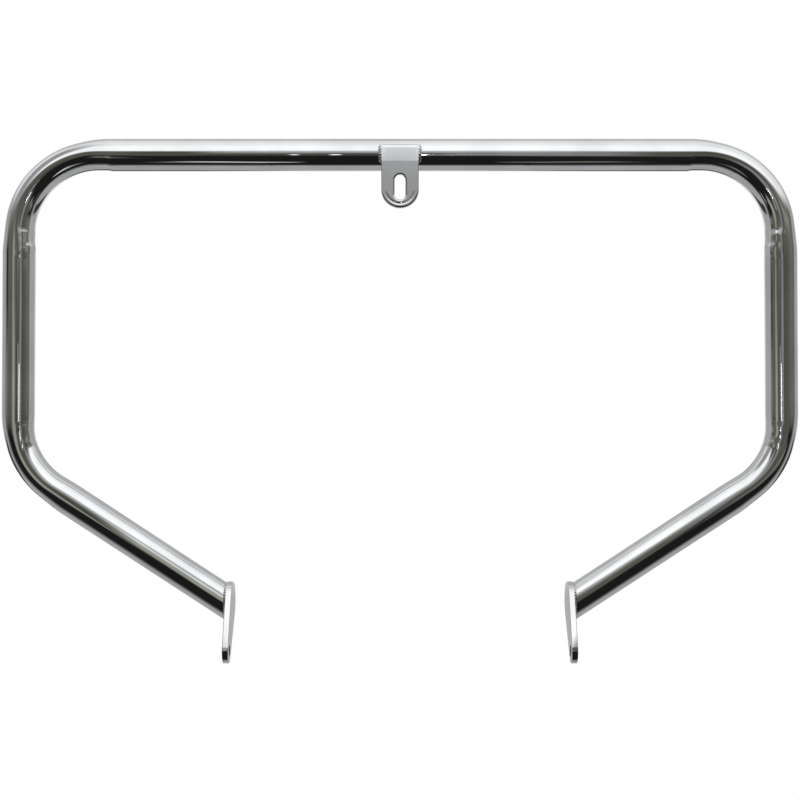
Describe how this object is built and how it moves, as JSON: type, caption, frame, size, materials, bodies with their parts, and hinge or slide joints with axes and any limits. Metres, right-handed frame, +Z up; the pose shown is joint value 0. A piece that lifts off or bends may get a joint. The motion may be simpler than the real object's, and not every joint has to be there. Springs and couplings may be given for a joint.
{
  "type": "motorcycle crash bar",
  "caption": "Bent chrome tube hoop that guards a motorcycle's engine, with a slotted centre tab and drilled end plates that bolt it across the front of the frame.",
  "frame": {"origin": "middle of the centre tab's slot, on the tab's mounting face", "axes": "+X to the right across the motorcycle, +Y forward, +Z up; the tab's mounting face looks along -Y"},
  "size_m": [0.7838, 0.063, 0.5117],
  "materials": {
    "chrome_tube": "polished chrome plate on bent tube",
    "chrome_tab": "polished chrome plate on flat steel with rounded edges",
    "chrome_weld": "chrome plate over a dressed weld bead"
  },
  "bodies": {
    "root": {"main_tube": "chrome_tube", "centre_tab": "chrome_tab", "right_end_plate": "chrome_tab", "left_end_plate": "chrome_tab", "right_end_weld": "chrome_weld", "left_end_weld": "chrome_weld", "right_tab_weld": "chrome_weld", "left_tab_weld": "chrome_weld"}
  },
  "joints": []
}
